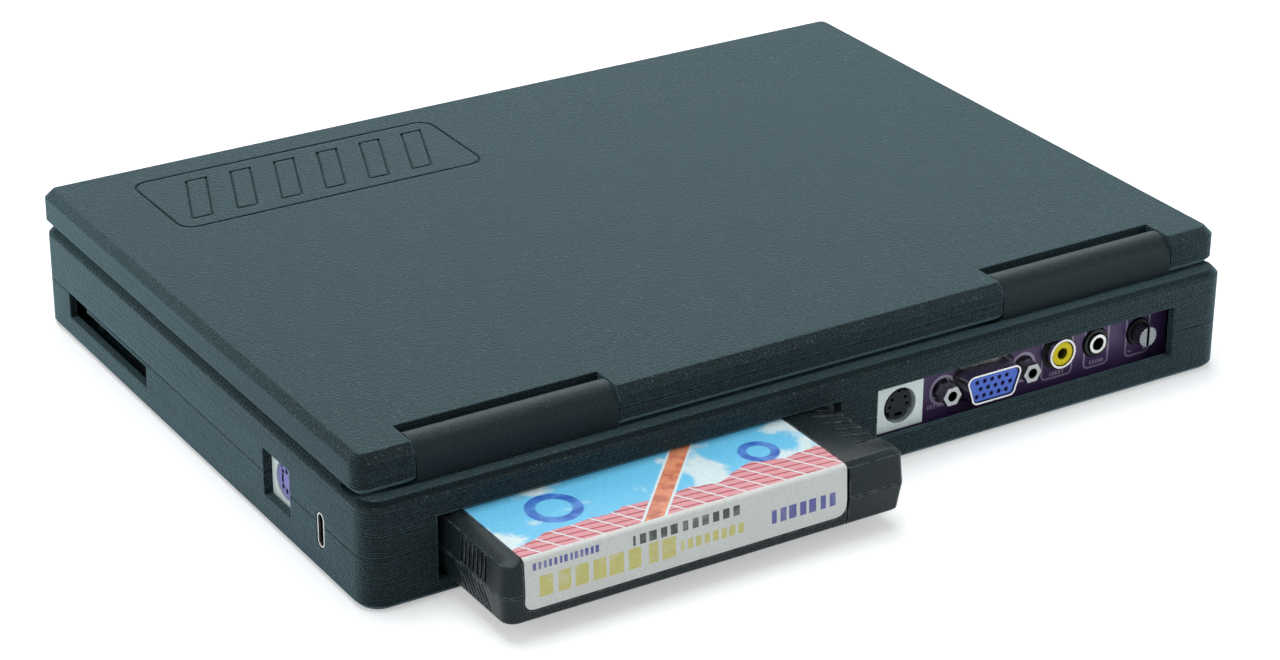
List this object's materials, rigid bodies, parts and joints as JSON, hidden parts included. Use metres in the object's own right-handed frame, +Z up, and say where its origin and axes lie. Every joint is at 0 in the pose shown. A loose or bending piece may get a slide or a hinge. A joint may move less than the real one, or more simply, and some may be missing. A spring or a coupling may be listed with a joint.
{
  "type": "laptop",
  "caption": "Closed thick-cased clamshell laptop with rear connector bay, exposed hinge barrels, side card slot and a game cartridge plugged into its rear slot.",
  "frame": {"origin": "centre of the base underside, on the table", "axes": "+X to the user's right, +Y to the hinge and connectors at the rear, +Z up"},
  "size_m": [0.25, 0.2112, 0.0375],
  "materials": {
    "casing": "fine-grained moulded dark grey, eggshell",
    "keycap": "fine-grained moulded, satin",
    "circuit_board": "purple solder mask with white print",
    "white_plastic": "semi-gloss moulded",
    "black_plastic": "satin moulded",
    "purple_plastic": "semi-gloss moulded",
    "blue_plastic": "semi-gloss moulded",
    "yellow_plastic": "semi-gloss moulded",
    "bright_metal": "bright plated",
    "steel": "plated, dull",
    "screen_glass": "dark cover sheet, glossy",
    "metal_plate": "bare sheet",
    "label_print": "printed coated paper"
  },
  "bodies": {
    "base": {"lower_case": "casing", "upper_case": "casing", "main_board": "circuit_board", "io_panel": "circuit_board", "video_socket_housing": "white_plastic", "video_socket_insert": "black_plastic", "monitor_shell": "bright_metal", "monitor_insert": "blue_plastic", "monitor_stud_1": "steel", "monitor_stud_2": "steel", "composite_body": "black_plastic", "composite_ring": "bright_metal", "composite_insert": "yellow_plastic", "audio_body": "black_plastic", "audio_ring": "bright_metal", "volume_body": "black_plastic", "side_socket_housing": "white_plastic", "side_socket_insert": "purple_plastic", "port_shell": "bright_metal", "port_tongue": "black_plastic", "card_socket": "black_plastic", "cartridge_socket": "black_plastic", "battery_pack": "metal_plate", "speaker": "black_plastic", "hinge_cover_right": "casing", "hinge_cover_left": "casing", "hinge_bracket_right": "steel", "hinge_bracket_left": "steel", "keyboard_plate": "keycap"},
    "lid": {"lid_cover": "casing", "lid_bezel": "casing", "screen_glass": "screen_glass", "screen_panel": "metal_plate", "hinge_pin_right": "steel", "hinge_pin_left": "steel", "hinge_arm_right": "steel", "hinge_arm_left": "steel"},
    "cartridge": {"cartridge_top": "casing", "cartridge_bottom": "casing", "cartridge_board": "circuit_board", "cartridge_label": "label_print"},
    "volume_shaft": {"volume_shaft": "bright_metal"},
    "power_button": {"power_button": "casing"},
    "escape_key": {"escape_key": "keycap"},
    "backspace_key": {"backspace_key": "keycap"},
    "tab_key": {"tab_key": "keycap"},
    "control_key": {"control_key": "keycap"},
    "enter_key": {"enter_key": "keycap"},
    "left_shift_key": {"left_shift_key": "keycap"},
    "right_shift_key": {"right_shift_key": "keycap"},
    "arrow_up_key": {"arrow_up_key": "keycap"},
    "space_key": {"space_key": "keycap"},
    "arrow_left_key": {"arrow_left_key": "keycap"},
    "arrow_down_key": {"arrow_down_key": "keycap"},
    "arrow_right_key": {"arrow_right_key": "keycap"}
  },
  "joints": [
    {"name": "lid_hinge", "type": "hinge", "parent": "base", "child": "lid", "pos_m": [0, 0.0816, 0.032], "axis": [-1, 0, 0], "range_deg": [0, 130]},
    {"name": "cartridge_slide", "type": "slide", "parent": "base", "child": "cartridge", "axis": [0, 1, 0], "range_m": [0, 0.045]},
    {"name": "volume_turn", "type": "hinge", "parent": "base", "child": "volume_shaft", "pos_m": [-0.1016, 0.088, 0.0128], "axis": [0, 1, 0], "range_deg": [-150, 150]},
    {"name": "power_press", "type": "slide", "parent": "base", "child": "power_button", "axis": [0, 0, -1], "range_m": [0, 0.0008], "stiffness_N_per_m": 600, "springref_m": -0.0005},
    {"name": "escape_press", "type": "slide", "parent": "base", "child": "escape_key", "axis": [0, 0, -1], "range_m": [0, 0.0014], "stiffness_N_per_m": 400, "springref_m": -0.0005},
    {"name": "backspace_press", "type": "slide", "parent": "base", "child": "backspace_key", "axis": [0, 0, -1], "range_m": [0, 0.0014], "stiffness_N_per_m": 400, "springref_m": -0.0005},
    {"name": "tab_press", "type": "slide", "parent": "base", "child": "tab_key", "axis": [0, 0, -1], "range_m": [0, 0.0014], "stiffness_N_per_m": 400, "springref_m": -0.0005},
    {"name": "control_press", "type": "slide", "parent": "base", "child": "control_key", "axis": [0, 0, -1], "range_m": [0, 0.0014], "stiffness_N_per_m": 400, "springref_m": -0.0005},
    {"name": "enter_press", "type": "slide", "parent": "base", "child": "enter_key", "axis": [0, 0, -1], "range_m": [0, 0.0014], "stiffness_N_per_m": 400, "springref_m": -0.0005},
    {"name": "left_shift_press", "type": "slide", "parent": "base", "child": "left_shift_key", "axis": [0, 0, -1], "range_m": [0, 0.0014], "stiffness_N_per_m": 400, "springref_m": -0.0005},
    {"name": "right_shift_press", "type": "slide", "parent": "base", "child": "right_shift_key", "axis": [0, 0, -1], "range_m": [0, 0.0014], "stiffness_N_per_m": 400, "springref_m": -0.0005},
    {"name": "arrow_up_press", "type": "slide", "parent": "base", "child": "arrow_up_key", "axis": [0, 0, -1], "range_m": [0, 0.0014], "stiffness_N_per_m": 400, "springref_m": -0.0005},
    {"name": "space_press", "type": "slide", "parent": "base", "child": "space_key", "axis": [0, 0, -1], "range_m": [0, 0.0014], "stiffness_N_per_m": 600, "springref_m": -0.0005},
    {"name": "arrow_left_press", "type": "slide", "parent": "base", "child": "arrow_left_key", "axis": [0, 0, -1], "range_m": [0, 0.0014], "stiffness_N_per_m": 400, "springref_m": -0.0005},
    {"name": "arrow_down_press", "type": "slide", "parent": "base", "child": "arrow_down_key", "axis": [0, 0, -1], "range_m": [0, 0.0014], "stiffness_N_per_m": 400, "springref_m": -0.0005},
    {"name": "arrow_right_press", "type": "slide", "parent": "base", "child": "arrow_right_key", "axis": [0, 0, -1], "range_m": [0, 0.0014], "stiffness_N_per_m": 400, "springref_m": -0.0005}
  ]
}
